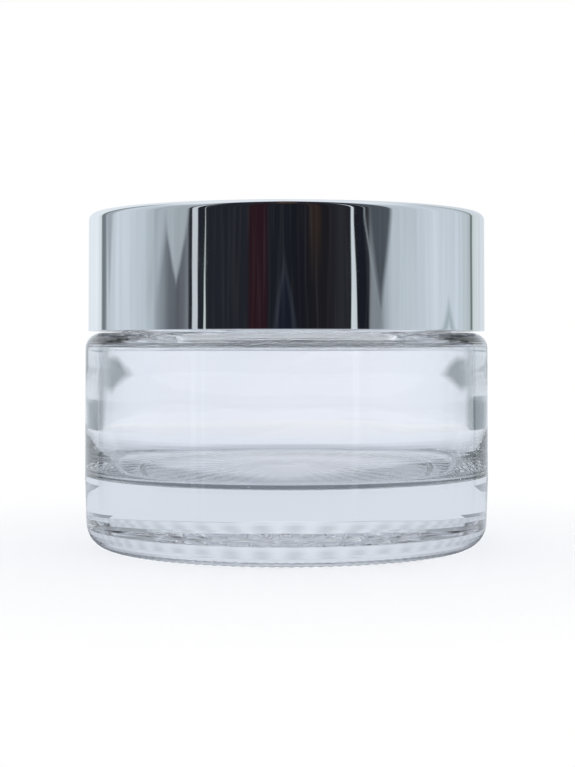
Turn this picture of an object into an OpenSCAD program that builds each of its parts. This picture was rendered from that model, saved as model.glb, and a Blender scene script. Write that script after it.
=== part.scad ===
// Screw-top cosmetic cream jar: a heavy-base glass body, a sealing disc that lifts out,
// and a two-piece cap with its liner.
// Millimetres, +Z up. The origin is the centre of the base, on the surface that the jar stands on.

/* [Glass body] */
// Outside diameter of the glass body at its widest
body_d = 60; // [54:1:72]
// Height of the shoulder's flat top
shoulder_z = 31.7; // [29:0.1:38]
// Height of the cavity's floor, which is the thickness of the base
base_t = 10.4; // [8:0.1:12]
// Thickness of the side wall at its thinnest
wall_t = 1.9; // [1.6:0.1:2.6]
// Thickness of the shoulder
shoulder_t = 2.1; // [1.8:0.1:3]
// Steepest inward lean of the cavity's wall under the shoulder, in degrees
top_lean = 5.8; // [3:0.2:8]
// Radius of the outside edge of the shoulder
shoulder_edge_r = 2.3; // [1.5:0.1:2.6]
// Radius of the heel, between the side and the base
heel_r = 3.7; // [2.8:0.1:4.2]
// Height of the push-up under the base
push_up_h = 1.5; // [0.8:0.1:2.5]

/* [Neck and thread] */
// Height of the neck above the shoulder
neck_h = 11.7; // [11.5:0.1:14]
// Thickness of the neck's wall under the thread
neck_wall = 3; // [2.6:0.1:3.2]
// Height of the thread above the neck's wall
thread_h = 1.2; // [1:0.05:1.2]
// Rise of the thread in one turn
thread_lead = 4.2; // [4:0.1:4.4]
// Length of the glass thread in turns
neck_turns = 1.4; // [1.2:0.05:1.5]
// Length of the cap's thread in turns
cap_turns = 1.15; // [0.9:0.05:1.2]

/* [Cap] */
// How far the cap's side stands inside the side of the body
cap_inset = 0.5; // [0.3:0.1:1]
// Gap between the shoulder and the closed cap
cap_gap = 0.25; // [0.15:0.05:0.5]
// Thickness of the cap shell's side
shell_wall = 1.4; // [1.2:0.1:1.6]
// Thickness of the cap shell's top
shell_top_t = 1.35; // [1.2:0.05:1.8]
// Radius of the cap shell's top edge
shell_edge_r = 1.05; // [0.6:0.05:1.15]
// Thickness of the threaded inner cap's skirt
inner_wall = 1.2; // [1:0.1:1.3]
// Thickness of the inner cap's top plate
inner_top_t = 1.2; // [1:0.1:1.5]
// Height of the spokes between the inner cap and the shell
spoke_h = 1.4; // [1:0.1:2]
// Number of ribs that stop the shell turning on the inner cap
rib_count = 24; // [12:4:36]

/* [Disc and liner] */
// Thickness of the sealing disc's flange
disc_flange_t = 0.8; // [0.6:0.1:1]
// How deep the sealing disc's plug reaches into the neck
plug_depth = 3; // [2.6:0.1:4]
// Thickness of the liner
liner_t = 1.2; // [0.8:0.1:1.6]

/* [Hidden] */

round_fn = 96;
arc_steps = 8;

// Cap shell and inner cap radii, worked inward from the body
body_r = body_d / 2;
shell_r = body_r - cap_inset;
shell_in_r = shell_r - shell_wall;
rib_h = 1.05;
rib_w = 0.8;
rib_gap = 0.05;
skirt_r = shell_in_r - rib_h - rib_gap;
skirt_in_r = skirt_r - inner_wall;
thread_gap = 0.4;
neck_thread_r = skirt_in_r - thread_gap;

// Glass radii
neck_r = neck_thread_r - thread_h;
bore_r = neck_r - neck_wall;
cavity_r = body_r - wall_t;
foot_r = body_r - 0.2;
body_top_r = body_r - 0.07;
widest_z = 10;
bearing_in_r = foot_r - heel_r - 4.1;
bearing_step = 0.35;
neck_fillet_r = 0.8;
lip_r = 1;
throat_r = 1.2;

// Cavity heights: its wall bows out from the foot, stands upright, leans in and is upright at the top
ceiling_z = shoulder_z - shoulder_t;
cavity_h = ceiling_z - base_t;
cavity_top_r = 0.3;
cavity_top_z = ceiling_z - cavity_top_r;
lean_z = base_t + 0.865 * cavity_h;
upright_to_z = base_t + 0.552 * cavity_h;
upright_from_z = base_t + 0.38 * cavity_h;
foot_z = base_t + 1.45;
foot_lean = 17;

// Heights of the stack from the rim to the top of the cap
rim_z = shoulder_z + neck_h;
disc_top_z = rim_z + disc_flange_t;
liner_top_z = disc_top_z + liner_t;
inner_top_z = liner_top_z + inner_top_t;
shell_ceiling_z = inner_top_z + spoke_h;
cap_top_z = shell_ceiling_z + shell_top_t;
cap_bottom_z = shoulder_z + cap_gap;
skirt_bottom_z = cap_bottom_z + 1.2;

// Thread section, as half widths at its root and its crest
thread_steps = 72;
fade_steps = 5;
thread_bury = 0.6;
fade_start = 0.4;
neck_root_half = 1.15;
neck_crest_half = 0.45;
cap_root_half = 1.05;
cap_crest_half = 0.4;
thread_pull = 1.35;
neck_thread_z = rim_z - 1.9 - neck_turns * thread_lead;
cap_thread_from = 60;

// Sealing disc
plug_gap = 0.15;
plug_r = bore_r - plug_gap;
plug_wall = 0.8;
membrane_t = 0.7;
membrane_z = rim_z - 2;
disc_r = neck_r - 0.8;
tab_w = 9;
tab_l = 9;
tab_t = 0.8;
tab_root_x = 15;
tab_riser_l = 1.6;

// Liner and the bead that keeps it in the cap
liner_r = skirt_in_r - 0.2;
liner_edge = 0.15;
bead_r = 0.6;
bead_h = 0.4;

// Snap ring between the inner cap and the shell
flange_t = 1.6;
snap_depth = 0.25;
snap_half = 0.5;

// Points along an arc from one angle to another
function arc(centre, radius, from, to) =
    [for (i = [0 : arc_steps])
        let (angle = from + (to - from) * i / arc_steps)
        centre + radius * [cos(angle), sin(angle)]];

// Every point after the first, for an arc that starts where the last one ended
function rest(points) = [for (i = [1 : len(points) - 1]) points[i]];

// One section of a helical ridge, standing in the radial plane at an angle
function ridge_section(in_r, in_half, out_r, out_half, angle, z) =
    [for (corner = [[in_r, -in_half], [out_r, -out_half], [out_r, out_half], [in_r, in_half]])
        [corner.x * cos(angle), corner.x * sin(angle), z + corner.y]];

// The two triangles of one side between a section and the next
function ridge_side(section, side) =
    let (a = 4 * section + side, b = 4 * section + (side + 1) % 4)
    [[a, a + 4, b], [b, a + 4, b + 4]];

// A right-handed helical ridge on a wall at wall_r that sinks into the wall at both ends
module helical_ridge(wall_r, crest_r, root_half, crest_half, z_from, angle_from, turns) {
    outward = crest_r > wall_r ? 1 : -1;
    steps = ceil(turns * thread_steps);
    root_r = wall_r - outward * thread_bury;
    low_r = root_r + outward * fade_start;
    sections = [for (k = [0 : steps])
        let (fade = min(1, k / fade_steps, (steps - k) / fade_steps))
        let (top_r = low_r + (crest_r - low_r) * fade)
        let (angle = angle_from + 360 * k / thread_steps)
        let (z = z_from + thread_lead * k / thread_steps)
        outward > 0
            ? ridge_section(root_r, root_half, top_r, crest_half, angle, z)
            : ridge_section(top_r, crest_half, root_r, root_half, angle, z)];
    sides = [for (k = [0 : steps - 1], side = [0 : 3]) each ridge_side(k, side)];
    last = 4 * steps;
    polyhedron(
        points = [for (section = sections) each section],
        faces = concat([[0, 3, 2], [0, 2, 1]], sides, [[last, last + 1, last + 2], [last, last + 2, last + 3]])
    );
}

// The cavity's side from the ceiling down to the floor, as arcs that run into each other
function cavity_wall() =
    let (lean_r = (lean_z - upright_to_z) / sin(top_lean))
    let (ease_r = (cavity_top_z - lean_z) / sin(top_lean))
    let (bow_r = (upright_from_z - foot_z) / sin(foot_lean))
    let (floor_r = (foot_z - base_t) / (1 - sin(foot_lean)))
    let (top_in_r = cavity_r - (lean_r + ease_r) * (1 - cos(top_lean)))
    let (floor_in_r = cavity_r - bow_r * (1 - cos(foot_lean)) - floor_r * cos(foot_lean))
    concat(
        arc([top_in_r - cavity_top_r, cavity_top_z], cavity_top_r, 90, 0),
        rest(arc([top_in_r + ease_r, cavity_top_z], ease_r, 180, 180 + top_lean)),
        rest(arc([cavity_r - lean_r, upright_to_z], lean_r, top_lean, 0)),
        arc([cavity_r - bow_r, upright_from_z], bow_r, 0, -foot_lean),
        rest(arc([floor_in_r, base_t + floor_r], floor_r, -foot_lean, -90))
    );

// Half section of the glass, from the middle of the push-up round the outside to the cavity's floor
module glass_outline() {
    push_up = [for (i = [0 : arc_steps])
        let (t = i / arc_steps)
        [bearing_in_r * t, bearing_step + (push_up_h - bearing_step) * (1 - t * t)]];
    outside = concat(
        [[bearing_in_r + bearing_step, 0]],
        arc([foot_r - heel_r, heel_r], heel_r, -90, 0),
        [[body_r, widest_z]],
        arc([body_top_r - shoulder_edge_r, shoulder_z - shoulder_edge_r], shoulder_edge_r, 0, 90),
        arc([neck_r + neck_fillet_r, shoulder_z + neck_fillet_r], neck_fillet_r, 270, 180)
    );
    rim = concat(
        arc([neck_r - lip_r, rim_z - lip_r], lip_r, 0, 90),
        arc([bore_r + lip_r, rim_z - lip_r], lip_r, 90, 180)
    );
    throat = arc([bore_r + throat_r, ceiling_z + throat_r], throat_r, 180, 270);
    polygon(concat(push_up, outside, rim, throat, cavity_wall(), [[0, base_t]]));
}

module glass_jar() {
    color([0.86, 0.89, 0.95, 0.45])
    union() {
        rotate_extrude($fn = round_fn) glass_outline();
        helical_ridge(neck_r, neck_thread_r, neck_root_half, neck_crest_half, neck_thread_z, 0, neck_turns);
    }
}

// Half section of the sealing disc: a flange on the rim, a plug in the neck and a sunken membrane
module disc_outline() {
    in_r = plug_r - plug_wall;
    plug_end_z = rim_z - plug_depth;
    edge = disc_flange_t / 2;
    polygon(concat(
        [[0, membrane_z], [in_r, membrane_z]],
        arc([plug_r - plug_wall / 2, plug_end_z + plug_wall / 2], plug_wall / 2, 180, 360),
        [[plug_r, rim_z]],
        arc([disc_r - edge, rim_z + edge], edge, -90, 90),
        [[in_r, disc_top_z], [in_r, membrane_z + membrane_t], [0, membrane_z + membrane_t]]
    ));
}

// Tongue that stands on a riser inside the disc's recess, for a fingertip to lift
module pull_tab() {
    tongue_z = disc_top_z - 0.15 - tab_t;
    riser_z = membrane_z + membrane_t / 2;
    translate([tab_root_x - tab_riser_l, -tab_w / 2, riser_z])
        cube([tab_riser_l, tab_w, tongue_z + tab_t - riser_z]);
    translate([tab_root_x - tab_riser_l - tab_l, -tab_w / 2, tongue_z])
        cube([tab_l + tab_riser_l / 2, tab_w, tab_t]);
    translate([tab_root_x - tab_riser_l - tab_l, 0, tongue_z])
        cylinder(h = tab_t, r = tab_w / 2, $fn = round_fn);
}

module sealing_disc() {
    color([0.95, 0.95, 0.94])
    union() {
        rotate_extrude($fn = round_fn) disc_outline();
        pull_tab();
    }
}

module cap_liner() {
    color([0.9, 0.91, 0.92])
    rotate_extrude($fn = round_fn)
        polygon([
            [0, disc_top_z],
            [liner_r - liner_edge, disc_top_z],
            [liner_r, disc_top_z + liner_edge],
            [liner_r, liner_top_z - liner_edge],
            [liner_r - liner_edge, liner_top_z],
            [0, liner_top_z]
        ]);
}

// Half section of the inner cap: top plate, skirt, and a bottom flange with the snap ring on it
module inner_cap_outline() {
    flange_r = shell_in_r - rib_gap;
    snap_r = flange_r + snap_depth - rib_gap;
    snap_z = skirt_bottom_z + flange_t / 2;
    mouth = 0.5;
    polygon([
        [0, liner_top_z],
        [skirt_in_r, liner_top_z],
        [skirt_in_r, skirt_bottom_z + mouth],
        [skirt_in_r + mouth, skirt_bottom_z],
        [flange_r, skirt_bottom_z],
        [flange_r, snap_z - snap_half],
        [snap_r, snap_z],
        [flange_r, snap_z + snap_half],
        [flange_r, skirt_bottom_z + flange_t],
        [skirt_r, skirt_bottom_z + flange_t + rib_h],
        [skirt_r, inner_top_z - mouth],
        [skirt_r - mouth, inner_top_z],
        [0, inner_top_z]
    ]);
}

// Low ring inside the skirt, just under the liner
module liner_bead() {
    rotate_extrude($fn = round_fn)
        intersection() {
            translate([skirt_in_r + bead_r - bead_h, disc_top_z - bead_r]) circle(r = bead_r, $fn = 32);
            translate([0, disc_top_z - 2 * bead_r]) square([skirt_in_r + bead_r / 2, 2 * bead_r]);
        }
}

// Upright ribs that grip the shell, and the spokes that carry its top
module inner_cap_ribs() {
    rib_from_z = skirt_bottom_z + flange_t / 2;
    hub_r = 6;
    for (i = [0 : rib_count - 1])
        rotate(360 * i / rib_count)
            translate([skirt_r - rib_w / 2, -rib_w / 2, rib_from_z])
                cube([rib_h + rib_w / 2, rib_w, inner_top_z - 1 - rib_from_z]);
    for (i = [0 : rib_count / 4 : rib_count - 1])
        rotate(360 * i / rib_count)
            translate([hub_r - rib_w, -rib_w / 2, inner_top_z - inner_top_t / 2])
                cube([skirt_r - hub_r - 1, rib_w, spoke_h + inner_top_t / 2]);
    translate([0, 0, inner_top_z - inner_top_t / 2])
        difference() {
            cylinder(h = spoke_h + inner_top_t / 2, r = hub_r, $fn = round_fn);
            translate([0, 0, -1])
                cylinder(h = spoke_h + inner_top_t + 2, r = hub_r - rib_w * 1.5, $fn = round_fn);
        }
}

module cap_inner() {
    color([0.93, 0.93, 0.92])
    union() {
        rotate_extrude($fn = round_fn) inner_cap_outline();
        liner_bead();
        inner_cap_ribs();
        helical_ridge(skirt_in_r, neck_r + thread_gap, cap_root_half, cap_crest_half,
            neck_thread_z - thread_pull + thread_lead * cap_thread_from / 360, cap_thread_from, cap_turns);
    }
}

// Half section of the cap shell, with the groove that the snap ring sits in
module shell_outline() {
    lip = 0.12;
    corner = 0.5;
    snap_z = skirt_bottom_z + flange_t / 2;
    polygon(concat(
        [[0, shell_ceiling_z]],
        arc([shell_in_r - corner, shell_ceiling_z - corner], corner, 90, 0),
        [
            [shell_in_r, snap_z + snap_half + rib_gap],
            [shell_in_r + snap_depth, snap_z],
            [shell_in_r, snap_z - snap_half - rib_gap]
        ],
        arc([shell_in_r + lip, cap_bottom_z + lip], lip, 180, 270),
        arc([shell_r - lip, cap_bottom_z + lip], lip, 270, 360),
        arc([shell_r - shell_edge_r, cap_top_z - shell_edge_r], shell_edge_r, 0, 90),
        [[0, cap_top_z]]
    ));
}

module cap_shell() {
    color([0.72, 0.73, 0.78])
    rotate_extrude($fn = round_fn) shell_outline();
}

glass_jar();
sealing_disc();
cap_liner();
cap_inner();
cap_shell();
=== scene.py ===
"""Screw-top cosmetic cream jar: the visual model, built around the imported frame.

Every piece but the disc's pull tab is turned: an outline of (radius, height) points is swept round the
jar's axis, and a relief function raises the thread, knurls, ribs and uneven glass on it. Outlines are in
millimetres, and meshes are in metres.
"""

import math

import bpy
import numpy as np
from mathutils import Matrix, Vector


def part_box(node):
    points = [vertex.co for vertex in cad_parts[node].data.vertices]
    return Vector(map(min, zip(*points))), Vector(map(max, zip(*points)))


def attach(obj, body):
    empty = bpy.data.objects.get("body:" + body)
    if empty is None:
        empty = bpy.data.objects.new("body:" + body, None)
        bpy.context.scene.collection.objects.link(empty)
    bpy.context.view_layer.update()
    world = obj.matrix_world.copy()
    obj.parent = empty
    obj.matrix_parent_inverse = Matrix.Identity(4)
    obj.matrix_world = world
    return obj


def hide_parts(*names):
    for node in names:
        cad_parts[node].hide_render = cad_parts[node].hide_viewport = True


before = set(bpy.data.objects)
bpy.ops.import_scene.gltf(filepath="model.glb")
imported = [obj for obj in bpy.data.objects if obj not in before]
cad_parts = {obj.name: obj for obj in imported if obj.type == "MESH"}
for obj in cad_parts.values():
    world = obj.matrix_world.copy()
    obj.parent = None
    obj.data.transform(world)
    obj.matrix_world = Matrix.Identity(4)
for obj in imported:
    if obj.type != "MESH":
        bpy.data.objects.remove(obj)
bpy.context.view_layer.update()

MM = 0.001
ARC_STEPS = 9


def box_mm(node):
    """Radius, lowest and highest height of a round CAD node, in millimetres."""
    low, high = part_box(node)
    return high.x / MM, low.z / MM, high.z / MM


# Driving sizes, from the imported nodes
BODY_R, _, RIM_Z = box_mm("glass_jar")
SHELL_R, CAP_BOTTOM_Z, CAP_TOP_Z = box_mm("cap_shell")
_, SKIRT_BOTTOM_Z, HUB_TOP_Z = box_mm("cap_inner")
LINER_R, LINER_BOTTOM_Z, LINER_TOP_Z = box_mm("cap_liner")
DISC_R, PLUG_END_Z, DISC_TOP_Z = box_mm("sealing_disc")

# Glass
NECK_H = 11.7
SHOULDER_Z = RIM_Z - NECK_H
SHOULDER_EDGE_R = 2.3
SHOULDER_T = 2.1
CEILING_Z = SHOULDER_Z - SHOULDER_T
BASE_T = 10.4
WALL_T = 1.9
CAVITY_R = BODY_R - WALL_T
CAVITY_H = CEILING_Z - BASE_T
FOOT_TAPER = 0.2
FOOT_R = BODY_R - FOOT_TAPER
TOP_TAPER = 0.07
BODY_TOP_R = BODY_R - TOP_TAPER
WIDEST_Z = 10.0
HEEL_R = 3.7
BEARING_W = 4.1
BEARING_IN_R = FOOT_R - HEEL_R - BEARING_W
BEARING_STEP = 0.35
PUSH_UP_H = 1.5

# Cavity wall, a chain of arcs: it bows out from the foot, stands upright, leans in and is upright at the top
FOOT_LEAN = 17.0
FOOT_Z = BASE_T + 1.45
UPRIGHT_FROM_Z = BASE_T + 0.38 * CAVITY_H
UPRIGHT_TO_Z = BASE_T + 0.552 * CAVITY_H
TOP_LEAN = 5.8
LEAN_Z = BASE_T + 0.865 * CAVITY_H
CAVITY_TOP_R = 0.3

# Rim and neck
LIP_R = 1.0
THROAT_R = 1.2
NECK_FILLET_R = 0.8

# Cap
SHELL_WALL = 1.4
SHELL_IN_R = SHELL_R - SHELL_WALL
SHELL_EDGE_R = 1.05
SHELL_DRAFT = 0.06
RIB_H = 1.05
RIB_GAP = 0.05
SKIRT_R = SHELL_IN_R - RIB_H - RIB_GAP
SKIRT_WALL = 1.2
SKIRT_IN_R = SKIRT_R - SKIRT_WALL
INNER_TOP_T = 1.2
FLANGE_T = 1.6
RIB_COUNT = 24
RIB_HALF_W = 0.4
RIB_FLARE = 1.6
LINER_BEAD_DROP = 0.6
LINER_BEAD_H = 0.35
LINER_BEAD_HALF = 0.35

# Thread. Its halves are half its width at the root and at the crest. Each end rises over THREAD_FADE turns,
# and the cap's thread sits THREAD_PULL under the neck's.
THREAD_GAP = 0.4
THREAD_H = 1.2
THREAD_LEAD = 4.2
NECK_TURNS = 1.4
CAP_TURNS = 1.15
THREAD_PULL = 1.35
CAP_THREAD_FROM = 60 / 360
THREAD_FADE = 25 / 360
NECK_THREAD_HALVES = (0.92, 0.45)
CAP_THREAD_HALVES = (0.85, 0.4)
NECK_THREAD_R = SKIRT_IN_R - THREAD_GAP
NECK_R = NECK_THREAD_R - THREAD_H
NECK_WALL = 3.0
BORE_R = NECK_R - NECK_WALL
NECK_THREAD_END = 1.9
NECK_THREAD_Z = RIM_Z - NECK_THREAD_END - NECK_TURNS * THREAD_LEAD

# How close to a wall's radius or height a point has to be to lie on it
ON_WALL = 0.01

# How finely the turned pieces are cut round the axis
SHELL_SEGMENTS = 384
INNER_SEGMENTS = 20 * RIB_COUNT
DISC_SEGMENTS = 256


# ---------------------------------------------------------------- outlines and meshes

def arc(radius, height, arc_r, start, end, steps=ARC_STEPS):
    """Points along an arc round (radius, height), from one angle to another in degrees."""
    angles = np.radians(np.linspace(start, end, steps + 1))
    return [(radius + arc_r * math.cos(a), height + arc_r * math.sin(a)) for a in angles]


def filled(points, longest, guard=0.08):
    """The points with long straight runs cut up, and a guard point near each end to keep corners crisp."""
    out = [points[0]]
    for start, end in zip(points, points[1:]):
        start, end = np.array(start), np.array(end)
        run = np.linalg.norm(end - start)
        if run > 4 * guard:
            inner = max(1, math.ceil((run - 2 * guard) / longest))
            along = np.linspace(guard / run, 1 - guard / run, inner + 1)
            out += [tuple(start + (end - start) * t) for t in along]
        out.append(tuple(end))
    return out


def mesh_piece(name, corners, faces):
    """A smooth closed mesh object whose faces look outward, from corners in millimetres."""
    mesh = bpy.data.meshes.new(name)
    mesh.from_pydata((corners * MM).tolist(), [], faces)
    if signed_volume(mesh) < 0:
        mesh.flip_normals()
    mesh.shade_smooth()
    piece = bpy.data.objects.new(name, mesh)
    bpy.context.scene.collection.objects.link(piece)
    return piece


def turned(name, outline, segments, relief=None):
    """A closed mesh object: an outline that starts and ends on the axis, swept round +Z."""
    rings = np.array(outline[1:-1])
    angle = np.linspace(0, 2 * math.pi, segments, endpoint=False)[None, :]
    radius = np.repeat(rings[:, :1], segments, axis=1)
    height = np.repeat(rings[:, 1:], segments, axis=1)
    if relief:
        radius, height = relief(radius, height, np.repeat(angle, len(rings), axis=0))
    corners = np.stack([radius * np.cos(angle), radius * np.sin(angle), height], axis=-1).reshape(-1, 3)
    first, last = len(corners), len(corners) + 1
    corners = np.vstack([corners, [0, 0, outline[0][1]], [0, 0, outline[-1][1]]])
    here = np.arange(segments)
    there = (here + 1) % segments
    faces = []
    for ring in range(len(rings) - 1):
        low, high = ring * segments, (ring + 1) * segments
        faces += np.stack([low + here, low + there, high + there, high + here], axis=1).tolist()
    faces += np.stack([np.full(segments, first), there, here], axis=1).tolist()
    end = (len(rings) - 1) * segments
    faces += np.stack([np.full(segments, last), end + here, end + there], axis=1).tolist()
    return mesh_piece(name, corners, faces)


def signed_volume(mesh):
    """Six times the mesh's volume, positive when its faces look outward."""
    mesh.calc_loop_triangles()
    corners = np.empty(len(mesh.vertices) * 3)
    mesh.vertices.foreach_get("co", corners)
    corners = corners.reshape(-1, 3)
    sides = np.empty(len(mesh.loop_triangles) * 3, int)
    mesh.loop_triangles.foreach_get("vertices", sides)
    a, b, c = (corners[sides.reshape(-1, 3)[:, k]] for k in range(3))
    return float(np.einsum("ij,ij->i", a, np.cross(b, c)).sum())


def smoothstep(low, high, value):
    """0 at low and 1 at high, with an eased rise in between. High may be the lower of the two."""
    t = np.clip((value - low) / (high - low), 0, 1)
    return t * t * (3 - 2 * t)


def ridge(value, middle, half):
    """1 at the middle of a rounded ridge, falling off to both sides."""
    return np.exp(-((value - middle) / half) ** 2)


def thread_height(height, angle, z_from, turn_from, turns, halves):
    """How far a right-handed thread stands up at each point, from 0 at the wall to 1 at its crest."""
    root_half, crest_half = halves
    best = np.zeros_like(height)
    for whole in range(math.ceil(turn_from + turns) + 1):
        turn = angle / (2 * math.pi) + whole - turn_from
        off = np.abs(height - z_from - THREAD_LEAD * turn)
        ends = smoothstep(0, THREAD_FADE, turn) * smoothstep(0, THREAD_FADE, turns - turn)
        best = np.maximum(best, ends * (1 - smoothstep(crest_half, root_half, off)))
    return best


# ---------------------------------------------------------------- glass jar

# Relief under the base: low rays in the push-up, a stipple on its outer half, and fine knurls on the bearing
# ring. Each fades in from the first radius of its FROM pair to the second, and fades out over its TO pair.
UNDER_Z = 1.9
RAYS = 42
RAY_H = 0.035
RAYS_FROM = (2.0, 16.0)
RAYS_TO = (BEARING_IN_R - 1.0, BEARING_IN_R)
KNURLS = 3 * RAYS
KNURL_H = 0.07
KNURLS_FROM = (BEARING_IN_R + 1.2, BEARING_IN_R + 2.0)
KNURLS_TO = (FOOT_R - 2.2, FOOT_R - 0.6)
STIPPLE_H = 0.03
STIPPLE_PITCH = 1.5
STIPPLE_FROM = (11.0, 15.0)
STIPPLE_TO = (BEARING_IN_R - 0.5, BEARING_IN_R)
JAR_SEGMENTS = 5 * KNURLS

# How far the pressed inside of the glass wanders, sideways and up, away from its middle
UNEVEN_R = 0.02
UNEVEN_Z = 0.03
UNEVEN_FROM = (2.0, 12.0)

# The longest straight run between two rings of the glass, and between two rings of its thread
GLASS_RUN = 2.2
THREAD_RUN = 0.24


def cavity_wall():
    """The inside of the glass from the ceiling down to the floor, as arcs that run into each other."""
    top_z = CEILING_Z - CAVITY_TOP_R
    lean_sin, lean_cos = math.sin(math.radians(TOP_LEAN)), math.cos(math.radians(TOP_LEAN))
    foot_sin, foot_cos = math.sin(math.radians(FOOT_LEAN)), math.cos(math.radians(FOOT_LEAN))
    high_r = (LEAN_Z - UPRIGHT_TO_Z) / lean_sin
    ease_r = (top_z - LEAN_Z) / lean_sin
    low_r = (UPRIGHT_FROM_Z - FOOT_Z) / foot_sin
    floor_r = (FOOT_Z - BASE_T) / (1 - foot_sin)
    top_in_r = CAVITY_R - (high_r + ease_r) * (1 - lean_cos)
    floor_in_r = CAVITY_R - low_r * (1 - foot_cos) - floor_r * foot_cos
    return (arc(top_in_r - CAVITY_TOP_R, top_z, CAVITY_TOP_R, 90, 0, 5)
            + arc(top_in_r + ease_r, top_z, ease_r, 180, 180 + TOP_LEAN, 12)[1:]
            + arc(CAVITY_R - high_r, UPRIGHT_TO_Z, high_r, TOP_LEAN, 0, 12)[1:]
            + arc(CAVITY_R - low_r, UPRIGHT_FROM_Z, low_r, 0, -FOOT_LEAN, 12)
            + arc(floor_in_r, BASE_T + floor_r, floor_r, -FOOT_LEAN, -90, 14)[1:])


def glass_outline():
    """From the middle of the push-up, round the outside and over the rim, to the cavity's floor."""
    coarse_then_fine = np.concatenate([[0, 0.15, 0.3, 0.42], np.linspace(0.5, 1, 42)])
    push_up = [(BEARING_IN_R * t, BEARING_STEP + (PUSH_UP_H - BEARING_STEP) * (1 - t * t))
               for t in coarse_then_fine]
    step = [(BEARING_IN_R + 0.2, 0.2), (BEARING_IN_R + 0.5, 0.05), (BEARING_IN_R + 0.9, 0.0)]
    ring = step + arc(FOOT_R - HEEL_R, HEEL_R, HEEL_R, -90, 0)
    side = [(BODY_R, WIDEST_Z)]
    shoulder = arc(BODY_TOP_R - SHOULDER_EDGE_R, SHOULDER_Z - SHOULDER_EDGE_R, SHOULDER_EDGE_R, 0, 90)
    neck_root = arc(NECK_R + NECK_FILLET_R, SHOULDER_Z + NECK_FILLET_R, NECK_FILLET_R, 270, 180, 5)
    rim = (arc(NECK_R - LIP_R, RIM_Z - LIP_R, LIP_R, 0, 90, 6)
           + arc(BORE_R + LIP_R, RIM_Z - LIP_R, LIP_R, 90, 180, 6))
    throat = arc(BORE_R + THROAT_R, CEILING_Z + THROAT_R, THROAT_R, 180, 270, 6)
    outside = filled(push_up + ring + side + shoulder + neck_root, GLASS_RUN)
    neck = filled([neck_root[-1], rim[0]], THREAD_RUN)
    inside = filled(rim + throat + cavity_wall() + [(0.5, BASE_T), (0.0, BASE_T)], GLASS_RUN)
    return outside + neck[1:-1] + inside


def band(radius, fade_in, fade_out):
    """1 on a ring under the base that fades in and out over two pairs of radii."""
    return smoothstep(fade_in[0], fade_in[1], radius) * smoothstep(fade_out[1], fade_out[0], radius)


def glass_relief(radius, height, angle):
    """Thread on the neck, relief under the base, and the uneven wall of pressed glass inside."""
    on_neck = (height > SHOULDER_Z + 1) & (np.abs(radius - NECK_R) < ON_WALL)
    thread = thread_height(height, angle, NECK_THREAD_Z, 0, NECK_TURNS, NECK_THREAD_HALVES)
    out = radius + on_neck * THREAD_H * thread
    under = height < UNDER_Z
    knurled = under * band(radius, KNURLS_FROM, KNURLS_TO)
    rayed = under * band(radius, RAYS_FROM, RAYS_TO)
    stippled = under * band(radius, STIPPLE_FROM, STIPPLE_TO)
    up = height + KNURL_H * knurled * (0.5 - 0.5 * np.cos(KNURLS * angle))
    up = up + RAY_H * rayed * np.cos(RAYS * angle)
    up = up + STIPPLE_H * stippled * np.cos(KNURLS * angle) * np.cos(2 * math.pi * radius / STIPPLE_PITCH)
    inside = (height > BASE_T - ON_WALL) & (height < CEILING_Z + 2) & (radius < CAVITY_R + ON_WALL)
    uneven = inside * smoothstep(UNEVEN_FROM[0], UNEVEN_FROM[1], radius)
    sideways = np.sin(3 * angle + 0.25 * height) + 0.6 * np.sin(7 * angle - 0.4 * height + 2)
    upward = np.sin(2 * angle + 0.3 * radius)
    return out + UNEVEN_R * uneven * sideways, up + UNEVEN_Z * uneven * upward


# ---------------------------------------------------------------- cap

def shell_outline():
    """From the middle of the ceiling, down inside and up the outside, to the middle of the top."""
    top_t = 1.35
    corner = 0.5
    lip = 0.12
    ceiling_z = CAP_TOP_Z - top_t
    top_r = SHELL_R - SHELL_DRAFT
    inside = [(0.0, ceiling_z)] + arc(SHELL_IN_R - corner, ceiling_z - corner, corner, 90, 0, 4)
    foot = (arc(SHELL_IN_R + lip, CAP_BOTTOM_Z + lip, lip, 180, 270, 5)
            + arc(SHELL_R - lip, CAP_BOTTOM_Z + lip, lip, 270, 360, 5))
    edge = arc(top_r - SHELL_EDGE_R, CAP_TOP_Z - SHELL_EDGE_R, SHELL_EDGE_R, 0, 90, 14)
    return filled(inside + foot + edge + [(0.0, CAP_TOP_Z)], 2.5)


def inner_cap_outline():
    """From the middle of the ceiling, down the threaded skirt and up the outside, to the top's middle."""
    mouth = 0.5
    flange_r = SHELL_IN_R - RIB_GAP
    top_z = LINER_TOP_Z + INNER_TOP_T
    hub_r, hub_t = 6.0, 1.2
    thread_run = filled([(SKIRT_IN_R, LINER_TOP_Z), (SKIRT_IN_R, SKIRT_BOTTOM_Z + mouth)], 0.25)
    rest = [
        (SKIRT_IN_R + mouth, SKIRT_BOTTOM_Z),
        (flange_r, SKIRT_BOTTOM_Z),
        (flange_r, SKIRT_BOTTOM_Z + FLANGE_T),
        (SKIRT_R, SKIRT_BOTTOM_Z + FLANGE_T + RIB_H),
        (SKIRT_R, top_z - mouth),
        (SKIRT_R - mouth, top_z),
        (hub_r, top_z),
        (hub_r, HUB_TOP_Z),
        (hub_r - hub_t, HUB_TOP_Z),
        (hub_r - hub_t, top_z),
        (0.0, top_z),
    ]
    return filled([(0.0, LINER_TOP_Z), (SKIRT_IN_R, LINER_TOP_Z)], 3) + thread_run[1:] + filled(
        [thread_run[-1]] + rest, 1.2)[1:]


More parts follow.
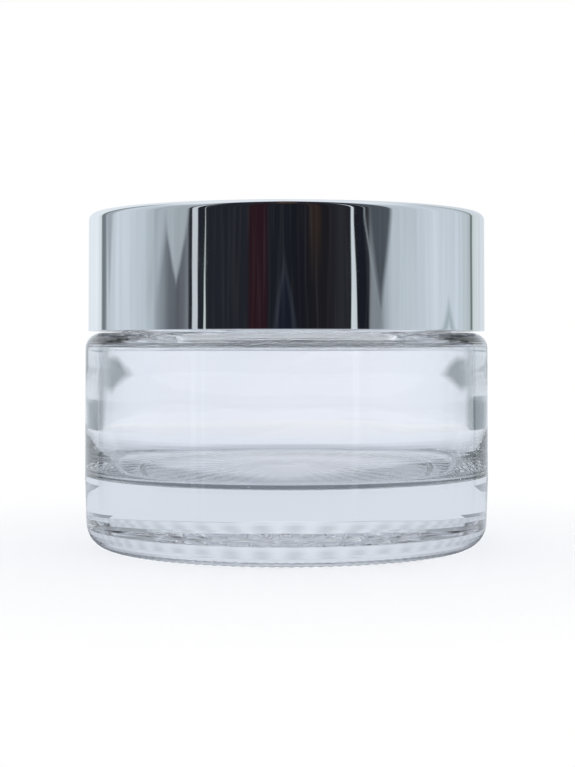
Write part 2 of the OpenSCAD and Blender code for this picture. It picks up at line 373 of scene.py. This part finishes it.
def inner_cap_relief(radius, height, angle):
    """Thread and liner bead inside the skirt, and ribs outside it."""
    below_ceiling = height < LINER_TOP_Z - 5 * ON_WALL
    in_bore = (np.abs(radius - SKIRT_IN_R) < ON_WALL) & below_ceiling
    z_from = NECK_THREAD_Z - THREAD_PULL + THREAD_LEAD * CAP_THREAD_FROM
    thread = thread_height(height, angle, z_from, CAP_THREAD_FROM, CAP_TURNS, CAP_THREAD_HALVES)
    bead = ridge(height, LINER_BOTTOM_Z - LINER_BEAD_DROP, LINER_BEAD_HALF)
    crest = SKIRT_IN_R - NECK_R - THREAD_GAP
    out = radius - in_bore * (crest * thread + LINER_BEAD_H * bead)
    from_rib = np.abs((angle * RIB_COUNT / (2 * math.pi) + 0.5) % 1 - 0.5)
    rib_half = RIB_HALF_W / SKIRT_R * RIB_COUNT / (2 * math.pi)
    on_skirt = (np.abs(radius - SKIRT_R) < ON_WALL) & (height < LINER_TOP_Z)
    rib = 1 - smoothstep(rib_half, rib_half * RIB_FLARE, from_rib)
    return out + on_skirt * RIB_H * rib, height


def liner_outline():
    """A thin foam disc with rounded edges and the ring that the sealing disc's flange has pressed in it."""
    edge = 0.3
    press_in, press_out, press_h, press_slope = DISC_R - 2.6, DISC_R, 0.12, 0.5
    return filled([
        (0.0, LINER_BOTTOM_Z),
        (press_in - press_slope, LINER_BOTTOM_Z),
        (press_in, LINER_BOTTOM_Z + press_h),
        (press_out, LINER_BOTTOM_Z + press_h),
        (press_out + press_slope, LINER_BOTTOM_Z),
    ] + arc(LINER_R - edge, LINER_BOTTOM_Z + edge, edge, -90, 0, 4)
      + arc(LINER_R - edge, LINER_TOP_Z - edge, edge, 0, 90, 4) + [(0.0, LINER_TOP_Z)], 2)


# ---------------------------------------------------------------- sealing disc

PLUG_GAP = 0.15
PLUG_WALL = 0.8
MEMBRANE_DROP = 2.0
MEMBRANE_Z = RIM_Z - MEMBRANE_DROP
MEMBRANE_T = 0.7
MEMBRANE_RINGS = (17.5, 5.0)
MEMBRANE_RING_H = 0.12
MEMBRANE_RING_HALF = 0.3


def disc_outline():
    """From the middle of the membrane's underside, round the plug and the flange, to its top."""
    plug_r = BORE_R - PLUG_GAP
    in_r = plug_r - PLUG_WALL
    edge = (DISC_TOP_Z - RIM_Z) / 2
    fillet = 0.4
    top_z = MEMBRANE_Z + MEMBRANE_T
    return filled(
        [(0.0, MEMBRANE_Z)] + arc(in_r - fillet, MEMBRANE_Z - fillet, fillet, 90, 0, 4)
        + arc(plug_r - PLUG_WALL / 2, PLUG_END_Z + PLUG_WALL / 2, PLUG_WALL / 2, 180, 360, 8)
        + [(plug_r, RIM_Z)] + arc(DISC_R - edge, RIM_Z + edge, edge, -90, 90, 8)
        + arc(in_r + fillet, DISC_TOP_Z - fillet, fillet, 90, 180, 4)
        + arc(in_r - fillet, top_z + fillet, fillet, 0, -90, 4) + [(0.0, top_z)], 2)


TAB_ROOT_X = 14.3
TAB_TIP_X = -0.1
TAB_HALF_W = 4.5
TAB_T = 0.8
TAB_BEND_R = 1.0
TAB_BELOW_TOP = 0.15
TAB_SUNK = 0.1
TAB_TIP_ANGLES = (6, 20, 35, 50, 65, 80, 90)


def pull_tab():
    """The sealing disc's tongue: a strip that runs back from a round tip and turns down into the membrane."""
    middle_z = DISC_TOP_Z - TAB_BELOW_TOP - TAB_T / 2
    bend_x, bend_z = TAB_ROOT_X - TAB_BEND_R, middle_z - TAB_BEND_R
    foot_z = MEMBRANE_Z + MEMBRANE_T - TAB_SUNK
    tip = [TAB_TIP_X + TAB_HALF_W * (1 - math.cos(math.radians(a))) for a in TAB_TIP_ANGLES]
    path = [(x, middle_z, 90.0) for x in tip + list(np.linspace(tip[-1], bend_x, 6)[1:])]
    bend = arc(bend_x, bend_z, TAB_BEND_R, 90, 0, 6)[1:]
    path += [(x, z, lean) for (x, z), lean in zip(bend, np.linspace(90, 0, 7)[1:])]
    path.append((TAB_ROOT_X, foot_z, 0.0))
    # The strip's section is a rounded rectangle: a cosine and a sine, both squared off by a low power
    around = np.linspace(0, 2 * math.pi, 24, endpoint=False)
    across = np.sign(np.cos(around)) * np.abs(np.cos(around)) ** 0.25
    through = np.sign(np.sin(around)) * np.abs(np.sin(around)) ** 0.45
    corners = []
    for x, z, lean in path:
        from_tip = min(1.0, (x - TAB_TIP_X) / TAB_HALF_W)
        half_w = TAB_HALF_W * math.sqrt(1 - (1 - from_tip) ** 2)
        out_x, out_z = math.cos(math.radians(lean)), math.sin(math.radians(lean))
        corners += [(x + out_x * n * TAB_T / 2, half_w * w, z + out_z * n * TAB_T / 2)
                    for w, n in zip(across, through)]
    count = len(around)
    faces = [(ring * count + k, ring * count + (k + 1) % count, (ring + 1) * count + (k + 1) % count,
              (ring + 1) * count + k) for ring in range(len(path) - 1) for k in range(count)]
    faces += [tuple(reversed(range(count))), tuple(range((len(path) - 1) * count, len(path) * count))]
    return mesh_piece("jar_disc_pull_tab", np.array(corners), faces)


def disc_relief(radius, height, angle):
    """Two fine raised rings on the membrane, as moulded."""
    top = np.abs(height - MEMBRANE_Z - MEMBRANE_T) < 2 * ON_WALL
    rings = sum(ridge(radius, ring_r, MEMBRANE_RING_HALF) for ring_r in MEMBRANE_RINGS)
    return radius, height + top * MEMBRANE_RING_H * rings


# ---------------------------------------------------------------- materials

def srgb(red, green, blue):
    """A colour as seen on screen, 0 to 255, as linear red, green, blue and alpha."""
    def linear(value):
        value = value / 255
        return value / 12.92 if value <= 0.04045 else ((value + 0.055) / 1.055) ** 2.4
    return (linear(red), linear(green), linear(blue), 1.0)


def grey(value):
    """A linear grey, as red, green, blue and alpha."""
    return (value, value, value, 1.0)


class Nodes:
    """A short way to add and join shader nodes in one tree."""

    def __init__(self, tree):
        self.tree = tree
        tree.nodes.clear()

    def add(self, kind, inputs=None, **settings):
        made = self.tree.nodes.new(kind)
        for key, value in settings.items():
            setattr(made, key, value)
        for key, value in (inputs or {}).items():
            if isinstance(value, bpy.types.NodeSocket):
                self.tree.links.new(value, made.inputs[key])
            else:
                made.inputs[key].default_value = value
        return made

    def math(self, operation, *values, clamp=False):
        made = self.add("ShaderNodeMath", dict(enumerate(values)), operation=operation, use_clamp=clamp)
        return made.outputs[0]

    def fade(self, value, start, width):
        """0 up to start and 1 from a width beyond it, straight in between."""
        return self.math("DIVIDE", self.math("SUBTRACT", value, start), width, clamp=True)

    def mix(self, factor, first, second):
        """A colour between two others, each of them a socket or a constant."""
        made = self.add("ShaderNodeMix", {"Factor": factor}, data_type="RGBA")
        for socket, value in ((made.inputs[6], first), (made.inputs[7], second)):
            if isinstance(value, bpy.types.NodeSocket):
                self.tree.links.new(value, socket)
            else:
                socket.default_value = value
        return made.outputs[2]

    def mix_shader(self, factor, first, second):
        return self.add("ShaderNodeMixShader", {0: factor, 1: first, 2: second}).outputs[0]

    def ramp(self, factor, stops):
        """A colour that runs through (place, colour) stops, with places from 0 to 1."""
        made = self.add("ShaderNodeValToRGB", {"Fac": factor})
        elements = made.color_ramp.elements
        while len(elements) < len(stops):
            elements.new(0.5)
        for element, (place, colour) in zip(elements, stops):
            element.position = place
            element.color = colour
        return made.outputs[0]


def principled(name, **sockets):
    """A material with one Principled shader, and the Nodes helper for its tree."""
    made = bpy.data.materials.new(name)
    made.use_nodes = True
    nodes = Nodes(made.node_tree)
    values = {key.replace("_", " "): value for key, value in sockets.items()}
    shader = nodes.add("ShaderNodeBsdfPrincipled", values)
    output = nodes.add("ShaderNodeOutputMaterial")
    made.node_tree.links.new(shader.outputs[0], output.inputs["Surface"])
    return made, nodes, shader


def link(nodes, source, shader, socket):
    nodes.tree.links.new(source, shader.inputs[socket])


def noise(nodes, where, scale, detail=2.0, roughness=0.5):
    return nodes.add("ShaderNodeTexNoise", {"Vector": where, "Scale": scale, "Detail": detail,
                                            "Roughness": roughness}).outputs[0]


def bumped(nodes, shader, height, strength, distance):
    bump = nodes.add("ShaderNodeBump", {"Height": height, "Strength": strength, "Distance": distance})
    link(nodes, bump.outputs[0], shader, "Normal")


def clear_glass():
    """Flint glass with a faint cold tint and a slightly wavy skin."""
    made, nodes, shader = principled("clear_glass", Roughness=0.0, IOR=1.52, Transmission_Weight=1.0)
    where = nodes.add("ShaderNodeTexCoord").outputs["Object"]
    tint = nodes.ramp(noise(nodes, where, 40.0), [(0.3, srgb(249, 251, 254)), (0.7, srgb(252, 253, 255))])
    link(nodes, tint, shader, "Base Color")
    bumped(nodes, shader, noise(nodes, where, 90.0, 1.0), strength=0.12, distance=0.0006)
    return made


def chrome_shell():
    """Mirror-metallised plastic: a little orange peel and a faint handling haze."""
    made, nodes, shader = principled("shell_chrome", Metallic=1.0)
    where = nodes.add("ShaderNodeTexCoord").outputs["Object"]
    tone = nodes.ramp(noise(nodes, where, 30.0), [(0.3, srgb(240, 241, 245)), (0.7, srgb(246, 247, 250))])
    link(nodes, tone, shader, "Base Color")
    haze = nodes.ramp(noise(nodes, where, 120.0, 4.0, 0.6), [(0.35, grey(0.015)), (0.75, grey(0.06))])
    link(nodes, haze, shader, "Roughness")
    bumped(nodes, shader, noise(nodes, where, 70.0, 1.0), strength=0.1, distance=0.0004)
    return made


# How much darker the white plastics get in their blotches
BLOTCH = 0.93


def white_plastic(name, colour, roughness, grain):
    """Moulded white plastic with a fine matt grain and slight blotches in its gloss."""
    made, nodes, shader = principled(name, IOR=1.49)
    where = nodes.add("ShaderNodeTexCoord").outputs["Object"]
    darker = tuple(BLOTCH * value for value in colour[:3]) + (1.0,)
    tone = nodes.ramp(noise(nodes, where, 60.0, 3.0), [(0.3, darker), (0.7, colour)])
    link(nodes, tone, shader, "Base Color")
    low, high = roughness
    gloss = nodes.ramp(noise(nodes, where, 200.0, 4.0), [(0.3, grey(low)), (0.7, grey(high))])
    link(nodes, gloss, shader, "Roughness")
    bumped(nodes, shader, noise(nodes, where, 2500.0, 2.0), strength=grain, distance=0.0001)
    return made


def liner_foam():
    """White expanded foam with small closed cells."""
    made, nodes, shader = principled("liner_foam", IOR=1.45)
    where = nodes.add("ShaderNodeTexCoord").outputs["Object"]
    cells = nodes.add("ShaderNodeTexVoronoi", {"Vector": where, "Scale": 2200.0}).outputs["Distance"]
    tone = nodes.ramp(cells, [(0.0, srgb(222, 224, 226)), (0.6, srgb(240, 241, 242))])
    link(nodes, tone, shader, "Base Color")
    gloss = nodes.ramp(cells, [(0.0, grey(0.7)), (0.7, grey(0.5))])
    link(nodes, gloss, shader, "Roughness")
    bumped(nodes, shader, cells, strength=0.5, distance=0.0001)
    return made


# ---------------------------------------------------------------- pieces

def dress(piece, body, node, material):
    """Material, body and material slot of a piece that stands for a CAD node."""
    piece.data.materials.append(material)
    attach(piece, body)
    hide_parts(node)


def build_jar():
    jar = turned("jar_glass", glass_outline(), JAR_SEGMENTS, glass_relief)
    dress(jar, "jar", "glass_jar", clear_glass())


def build_cap():
    shell = turned("cap_mirror_shell", shell_outline(), SHELL_SEGMENTS)
    dress(shell, "cap", "cap_shell", chrome_shell())
    inner = turned("cap_threaded_inner", inner_cap_outline(), INNER_SEGMENTS, inner_cap_relief)
    plastic = white_plastic("inner_plastic", srgb(240, 240, 238), roughness=(0.28, 0.4), grain=0.1)
    dress(inner, "cap", "cap_inner", plastic)
    liner = turned("cap_foam_liner", liner_outline(), DISC_SEGMENTS)
    dress(liner, "liner", "cap_liner", liner_foam())


def build_disc():
    plastic = white_plastic("disc_plastic", srgb(243, 243, 241), roughness=(0.35, 0.5), grain=0.15)
    disc = turned("jar_sealing_disc", disc_outline(), DISC_SEGMENTS, disc_relief)
    dress(disc, "disc", "sealing_disc", plastic)
    dress(pull_tab(), "disc", "sealing_disc", plastic)


# ---------------------------------------------------------------- studio

WHITE = grey(1.0)

# The floor, in metres from its middle. The camera sees it fade into plain white between two radii, from a
# least share of white by the jar, and mirrors stop seeing it between two others.
FLOOR_R = 0.3
FADE_FROM, FADE_TO, FADE_LEAST = 0.03, 0.09, 0.6
MIRROR_FROM, MIRROR_TO = 0.05, 0.16
FLOOR_COLOUR = srgb(228, 232, 240)

# A light path counts the glass surfaces that it has crossed and its diffuse bounces. More than ANY means one
# or more, and light that has crossed less than SOLID_GLASS hasn't passed through the jar's cavity.
ANY = 0.5
SOLID_GLASS = 2.5

# What the glass shows, with angles in degrees: a white sheet behind the jar. Its top edge drops by a share of
# the angle to each side, and its half width is less where the light has crossed solid glass only.
SHEET_TOP = 15.0
SHEET_DROOP = 0.85
SHEET_LEAST = 1.5
SHEET_HALF = 18.0
EDGE_HALF = 5.0
SHEET_SOFT = 3.0
SHEET_COLOUR = srgb(246, 248, 254)

# The room round the sheet, seen through the cavity and through solid glass, and the room in front of the jar
SHEET_ROOM = srgb(148, 155, 157)
EDGE_ROOM = srgb(128, 137, 145)
SHEET_FRONT = srgb(132, 139, 144)
FRONT_FROM, FRONT_SOFT = 125.0, 10.0

# Above the horizon, solid glass shows a soft light instead, which dims to each side over SOFT_HALF
SOFT_NEAR = srgb(226, 231, 238)
SOFT_WIDE = srgb(204, 211, 219)
SOFT_HALF = 60.0
SOFT_FROM, SOFT_EDGE = 0.3, 1.0

# Upright slats in that light, fading in over a range of rise: a likeness of the knurls on the far side of the
# base, which the thick glass magnifies
SLATS = 64
SLAT_DEPTH = 0.42
SLAT_FROM, SLAT_TO = 1.0, 6.0
SLAT_COLOUR = srgb(165, 172, 181)

# Extra light on what is lit through the glass. It grows with a power of the number of diffuse
# bounces, so that most of it reaches the closed spaces under the cap.
INSIDE_GAIN = 3.0
FLOOR_GAIN = 0.2
GAIN_POWER = 4.0
TOP_LIGHT = 1.25

# What mirrors show once the light has crossed glass
INSIDE_MIRROR = srgb(226, 231, 237)

# The floor's glow seen through the cavity and through solid glass, by distance as a share of its radius. It
# is a painted shadow as well: darker near the jar, lighter further out.
FLOOR_GLOW_AND_SHADOW = [
    (0.09, srgb(195, 199, 207)),
    (0.17, srgb(207, 212, 220)),
    (0.27, srgb(238, 242, 249)),
    (0.85, srgb(253, 253, 255)),
]
# The same where the light has crossed solid glass only, with a darker painted shadow close by the jar's foot
BASE_GLOW_AND_SHADOW = [
    (0.1, srgb(122, 128, 137)),
    (0.125, srgb(220, 225, 233)),
]

# The uneven tone of the walls, broad and fine, from least to most. It varies with degrees along the wall and
# only TONE_STRETCH times the rise up the cap, so it runs in upright streaks.
BROAD_TONE = (0.91, 1.09)
FINE_TONE = (0.0, 0.014)
TONE_STRETCH = 1.5

# The height part of the direction that the side of the cap mirrors: at its foot, and how much more at its top
CAP_FOOT = 0.009
CAP_SPAN = 0.074

# Mirrors see a lamp overhead, above a given height part of a direction, by azimuth from the front
LAMP_FROM, LAMP_SOFT = 0.7, 0.2
LAMP_FRONT = srgb(78, 64, 54)
LAMP_BESIDE = srgb(42, 44, 52)
LAMP_WIDE = srgb(235, 240, 245)
LAMP_BESIDE_FROM, LAMP_BESIDE_SOFT = 7.0, 3.0
LAMP_WIDE_FROM, LAMP_WIDE_SOFT = 55.0, 15.0

# Walls of the studio by azimuth in degrees from the front, positive to the right, and their colour
LEFT_WALL = [
    (-180, srgb(222, 229, 236)),
    (-140, srgb(231, 239, 244)),
    (-133, srgb(216, 225, 226)),
    (-131, srgb(112, 122, 125)),
    (-126.5, srgb(124, 132, 137)),
    (-124, srgb(192, 202, 209)),
    (-110, srgb(206, 217, 224)),
    (-98, srgb(203, 213, 221)),
    (-88, srgb(190, 201, 208)),
    (-81, srgb(176, 187, 193)),
    (-77, srgb(148, 157, 163)),
    (-73, srgb(126, 134, 140)),
    (-69, srgb(102, 108, 114)),
    (-64, srgb(92, 97, 103)),
    (-59.5, srgb(102, 107, 114)),
    (-57, srgb(124, 130, 136)),
    (-56, srgb(34, 38, 46)),
    (-22, srgb(34, 36, 42)),
    (-20, srgb(42, 24, 30)),
    (-11.5, srgb(40, 23, 30)),
    (-9.5, srgb(27, 30, 37)),
    (0, srgb(27, 30, 36)),
]
RIGHT_WALL = [
    (0, srgb(27, 30, 36)),
    (8, srgb(25, 26, 33)),
    (15, srgb(28, 28, 32)),
    (24, srgb(30, 29, 34)),
    (31, srgb(43, 45, 50)),
    (35, srgb(35, 37, 42)),
    (42, srgb(25, 28, 36)),
    (46.5, srgb(40, 43, 47)),
    (48, srgb(132, 139, 144)),
    (54, srgb(134, 143, 149)),
    (61, srgb(186, 197, 203)),
    (84, srgb(199, 210, 217)),
    (96, srgb(206, 216, 223)),
    (108, srgb(205, 216, 223)),
    (117, srgb(199, 210, 217)),
    (124, srgb(190, 201, 205)),
    (130, srgb(180, 191, 194)),
    (131.5, srgb(100, 110, 108)),
    (133, srgb(112, 122, 120)),
    (135, srgb(206, 217, 216)),
    (150, srgb(214, 221, 227)),
    (180, srgb(222, 229, 236)),
]

# Upright panels in front of the walls, each over the ones before it. They have a middle and a half width at
# the cap's foot, and may lean and spread up to its top, have softer edges, or fade in between two heights.
PANELS = [
    dict(centre=-121.5, half=-0.5, colour=srgb(158, 166, 172), spread=6.0, soft=3.0),
    dict(centre=-86.0, half=5.5, colour=srgb(172, 181, 188), lean=12.0, soft=4.0, fade=(0.15, 0.45)),
    dict(centre=-64.5, half=-6.3, colour=srgb(168, 177, 182), spread=15.5, soft=2.0),
    dict(centre=-52.3, half=2.0, colour=srgb(202, 208, 213)),
    dict(centre=-46.3, half=0.9, colour=srgb(196, 208, 203), lean=0.3, spread=-0.55, soft=0.4),
    dict(centre=-1.0, half=8.5, colour=srgb(44, 48, 56), spread=-11.5, soft=1.4),
    dict(centre=-1.0, half=6.3, colour=srgb(25, 30, 42), spread=-10.5, soft=1.4),
    dict(centre=16.0, half=4.5, colour=srgb(47, 38, 35), soft=2.5, fade=(0.45, 0.9)),
    dict(centre=38.3, half=2.2, colour=srgb(208, 218, 221), lean=-1.3, spread=-1.1),
    dict(centre=43.7, half=3.6, colour=srgb(25, 28, 36), lean=-2.0, spread=-2.0),
    dict(centre=53.8, half=-0.6, colour=srgb(78, 84, 90), spread=9.0, soft=3.0),
    dict(centre=56.0, half=0.8, colour=srgb(140, 148, 153), lean=-12.0, soft=0.8),
    dict(centre=105.0, half=9.5, colour=srgb(166, 180, 185), spread=-26.0, soft=4.0),
    dict(centre=105.5, half=4.0, colour=srgb(202, 213, 219), spread=-20.0, soft=2.5),
]


def wall(nodes, azimuth, stops):
    """The wall colour behind a direction, for one side of the studio."""
    low, high = stops[0][0], stops[-1][0]
    place = nodes.math("DIVIDE", nodes.math("SUBTRACT", azimuth, low), high - low)
    return nodes.ramp(place, [((degrees - low) / (high - low), colour) for degrees, colour in stops])


def panelled(nodes, below, azimuth, rise, centre, half, colour, lean=0.0, spread=0.0, soft=0.6, fade=None):
    """A light or dark upright panel over what is below it. rise runs from 0 to 1 up the cap."""
    middle = nodes.math("ADD", nodes.math("MULTIPLY", rise, lean), centre)
    width = nodes.math("ADD", nodes.math("MULTIPLY", rise, spread), half)
    off = nodes.math("ABSOLUTE", nodes.math("SUBTRACT", azimuth, middle))
    mask = nodes.fade(width, off, soft)
    if fade:
        low, high = fade
        mask = nodes.math("MULTIPLY", mask, nodes.fade(rise, low, high - low))
    return nodes.mix(mask, below, colour)


def mirror_tent(nodes, axes, azimuth):
    """What mirrors show: walls and panels of uneven tone, under a lamp that is dark towards the front."""
    rise = nodes.fade(axes[2], CAP_FOOT, CAP_SPAN)
    right = nodes.math("GREATER_THAN", azimuth, 0.0)
    tent = nodes.mix(right, wall(nodes, azimuth, LEFT_WALL), wall(nodes, azimuth, RIGHT_WALL))
    for panel in PANELS:
        tent = panelled(nodes, tent, azimuth, rise, **panel)
    stretched = nodes.math("MULTIPLY", rise, TONE_STRETCH)
    along = nodes.add("ShaderNodeCombineXYZ", {0: azimuth, 1: stretched}).outputs[0]
    low, high = BROAD_TONE
    broad = nodes.ramp(noise(nodes, along, 0.2, 3.0, 0.6), [(0.3, grey(low)), (0.7, grey(high))])
    low, high = FINE_TONE
    fine = nodes.ramp(noise(nodes, along, 0.5, 1.0), [(0.5, grey(low)), (0.75, grey(high))])
    toned = nodes.add("ShaderNodeVectorMath", {0: tent, 1: broad, 2: fine}, operation="MULTIPLY_ADD")
    off_front = nodes.math("ABSOLUTE", azimuth)
    lamp = nodes.mix(nodes.fade(off_front, LAMP_BESIDE_FROM, LAMP_BESIDE_SOFT), LAMP_FRONT, LAMP_BESIDE)
    lamp = nodes.mix(nodes.fade(off_front, LAMP_WIDE_FROM, LAMP_WIDE_SOFT), lamp, LAMP_WIDE)
    return nodes.mix(nodes.fade(axes[2], LAMP_FROM, LAMP_SOFT), toned.outputs[0], lamp)


def glass_backdrop(nodes, axes, azimuth, solid):
    """What clear glass shows: a white sheet behind the jar in a grey room, and a soft light for solid glass.

    solid is 1 where the light has crossed solid glass only, as in the base and the edge of the wall, and 0
    where it has crossed the cavity too.
    """
    behind = nodes.math("SUBTRACT", 180.0, nodes.math("ABSOLUTE", azimuth))
    rise = nodes.math("DEGREES", nodes.math("ARCSINE", axes[2]))
    top = nodes.math("SUBTRACT", SHEET_TOP, nodes.math("MULTIPLY", behind, SHEET_DROOP))
    above = nodes.fade(rise, nodes.math("MAXIMUM", top, SHEET_LEAST), SHEET_SOFT)
    half = nodes.math("SUBTRACT", SHEET_HALF, nodes.math("MULTIPLY", solid, SHEET_HALF - EDGE_HALF))
    beside = nodes.fade(behind, half, 2 * SHEET_SOFT)
    room = nodes.mix(solid, SHEET_ROOM, EDGE_ROOM)
    room = nodes.mix(nodes.fade(behind, FRONT_FROM, FRONT_SOFT), room, SHEET_FRONT)
    sheet = nodes.mix(nodes.math("MAXIMUM", above, beside), SHEET_COLOUR, room)
    soft = nodes.mix(nodes.fade(behind, 0.0, SOFT_HALF), SOFT_NEAR, SOFT_WIDE)
    slats = nodes.math("SINE", nodes.math("MULTIPLY", azimuth, SLATS * math.pi / 180))
    slats = nodes.math("MULTIPLY_ADD", slats, SLAT_DEPTH / 2, SLAT_DEPTH / 2)
    slats = nodes.math("MULTIPLY", slats, nodes.fade(rise, SLAT_FROM, SLAT_TO - SLAT_FROM))
    soft = nodes.mix(slats, soft, SLAT_COLOUR)
    return nodes.mix(nodes.math("MULTIPLY", solid, nodes.fade(rise, SOFT_FROM, SOFT_EDGE)), sheet, soft)


def crossed(nodes, path):
    """Two masks: 1 where the light has crossed any glass, and 1 where it hasn't passed through the cavity."""
    surfaces = path["Transmission Depth"]
    return nodes.math("GREATER_THAN", surfaces, ANY), nodes.math("LESS_THAN", surfaces, SOLID_GLASS)


def inside_gain(nodes, path, inside, gain):
    """How much stronger the light is for a bounce that has crossed glass."""
    bounces = nodes.math("POWER", path["Diffuse Depth"], GAIN_POWER)
    return nodes.math("ADD", 1.0, nodes.math("MULTIPLY", nodes.math("MULTIPLY", inside, bounces), gain))


def build_world():
    """White for the camera, soft light on the jar, a tent for mirrors and a backdrop for clear glass."""
    world = bpy.data.worlds.new("studio")
    bpy.context.scene.world = world
    world.use_nodes = True
    nodes = Nodes(world.node_tree)
    direction = nodes.add("ShaderNodeTexCoord").outputs["Generated"]
    axes = nodes.add("ShaderNodeSeparateXYZ", {"Vector": direction}).outputs
    azimuth = nodes.math("DEGREES", nodes.math("ARCTAN2", axes[0], nodes.math("MULTIPLY", axes[1], -1.0)))
    path = nodes.add("ShaderNodeLightPath").outputs
    inside, solid = crossed(nodes, path)
    mirrored = nodes.mix(inside, mirror_tent(nodes, axes, azimuth), INSIDE_MIRROR)
    seen = nodes.mix(path["Is Transmission Ray"], mirrored, glass_backdrop(nodes, axes, azimuth, solid))
    light = nodes.ramp(axes[2], [(0.0, grey(1.0)), (1.0, grey(TOP_LIGHT))])
    gain = inside_gain(nodes, path, inside, INSIDE_GAIN)
    light = nodes.add("ShaderNodeVectorMath", {0: light, "Scale": gain}, operation="SCALE").outputs[0]
    seen = nodes.mix(nodes.math("GREATER_THAN", path["Diffuse Depth"], ANY), seen, light)
    seen = nodes.mix(path["Is Camera Ray"], seen, WHITE)
    background = nodes.add("ShaderNodeBackground", {"Color": seen, "Strength": 1.0})
    output = nodes.add("ShaderNodeOutputWorld")
    world.node_tree.links.new(background.outputs[0], output.inputs["Surface"])


def floor_material():
    """Pale matt that fades to white for the camera, and a soft glow for light on its way to the jar.

    The glow's colour goes by distance, darker near the jar as a painted shadow, and mirrors see past the
    floor further out.
    """
    made, nodes, shader = principled("stage_floor", Base_Color=FLOOR_COLOUR, Roughness=0.9, IOR=1.3)
    where = nodes.add("ShaderNodeTexCoord").outputs["Object"]
    away = nodes.add("ShaderNodeVectorMath", {0: where}, operation="LENGTH").outputs["Value"]
    path = nodes.add("ShaderNodeLightPath").outputs
    inside, solid = crossed(nodes, path)
    white = nodes.add("ShaderNodeEmission", {"Color": WHITE, "Strength": 1.0})
    whiteness = nodes.math("MULTIPLY", nodes.fade(away, FADE_FROM, FADE_TO - FADE_FROM), 1 - FADE_LEAST)
    picture = nodes.mix_shader(nodes.math("ADD", FADE_LEAST, whiteness), shader.outputs[0], white.outputs[0])
    share = nodes.math("DIVIDE", away, FLOOR_R)
    # The glow's colour by distance, with a painted shadow that darkens it near the jar
    colour = nodes.mix(solid, nodes.ramp(share, FLOOR_GLOW_AND_SHADOW), nodes.ramp(share, BASE_GLOW_AND_SHADOW))
    gain = inside_gain(nodes, path, inside, FLOOR_GAIN)
    glow = nodes.add("ShaderNodeEmission", {"Color": colour, "Strength": gain})
    clear = nodes.add("ShaderNodeBsdfTransparent")
    outside = nodes.math("SUBTRACT", path["Is Glossy Ray"], inside, clamp=True)
    unseen = nodes.math("MULTIPLY", outside, nodes.fade(away, MIRROR_FROM, MIRROR_TO - MIRROR_FROM))
    lit = nodes.mix_shader(unseen, glow.outputs[0], clear.outputs[0])
    output = next(node for node in made.node_tree.nodes if node.type == "OUTPUT_MATERIAL")
    surface = nodes.mix_shader(path["Is Camera Ray"], lit, picture)
    made.node_tree.links.new(surface, output.inputs["Surface"])
    return made


def build_floor():
    """A plain pale round table top that fades into the white behind it, with a soft shadow by the jar."""
    bpy.ops.mesh.primitive_circle_add(vertices=96, radius=FLOOR_R, fill_type="NGON")
    floor = bpy.context.active_object
    floor.name = "stage_floor"
    floor.data.materials.append(floor_material())


# The viewpoint: level with the ceiling of the cavity, and about four jars away
CAMERA_DISTANCE = 0.255
CAMERA_HEIGHT = 0.030
CAMERA_LENS = 79.8
CAMERA_SHIFT = (0.0013, -0.0510)


def build_camera():
    camera = bpy.data.objects.new("camera", bpy.data.cameras.new("camera"))
    bpy.context.scene.collection.objects.link(camera)
    camera.location = (0.0, -CAMERA_DISTANCE, CAMERA_HEIGHT)
    camera.rotation_euler = (math.pi / 2, 0.0, 0.0)
    camera.data.lens = CAMERA_LENS
    camera.data.shift_x, camera.data.shift_y = CAMERA_SHIFT
    camera.data.clip_start = 0.01
    bpy.context.scene.camera = camera


# Light takes many bounces through the glass and its threads, which turn dark without them
GLASS_BOUNCES = 24
GLOSSY_BOUNCES = 12


def set_up_scene():
    scene = bpy.context.scene
    scene.view_settings.view_transform = "Standard"
    scene.cycles.max_bounces = GLASS_BOUNCES
    scene.cycles.transmission_bounces = GLASS_BOUNCES
    scene.cycles.glossy_bounces = GLOSSY_BOUNCES


build_camera()
build_jar()
build_cap()
build_disc()
build_world()
build_floor()
set_up_scene()
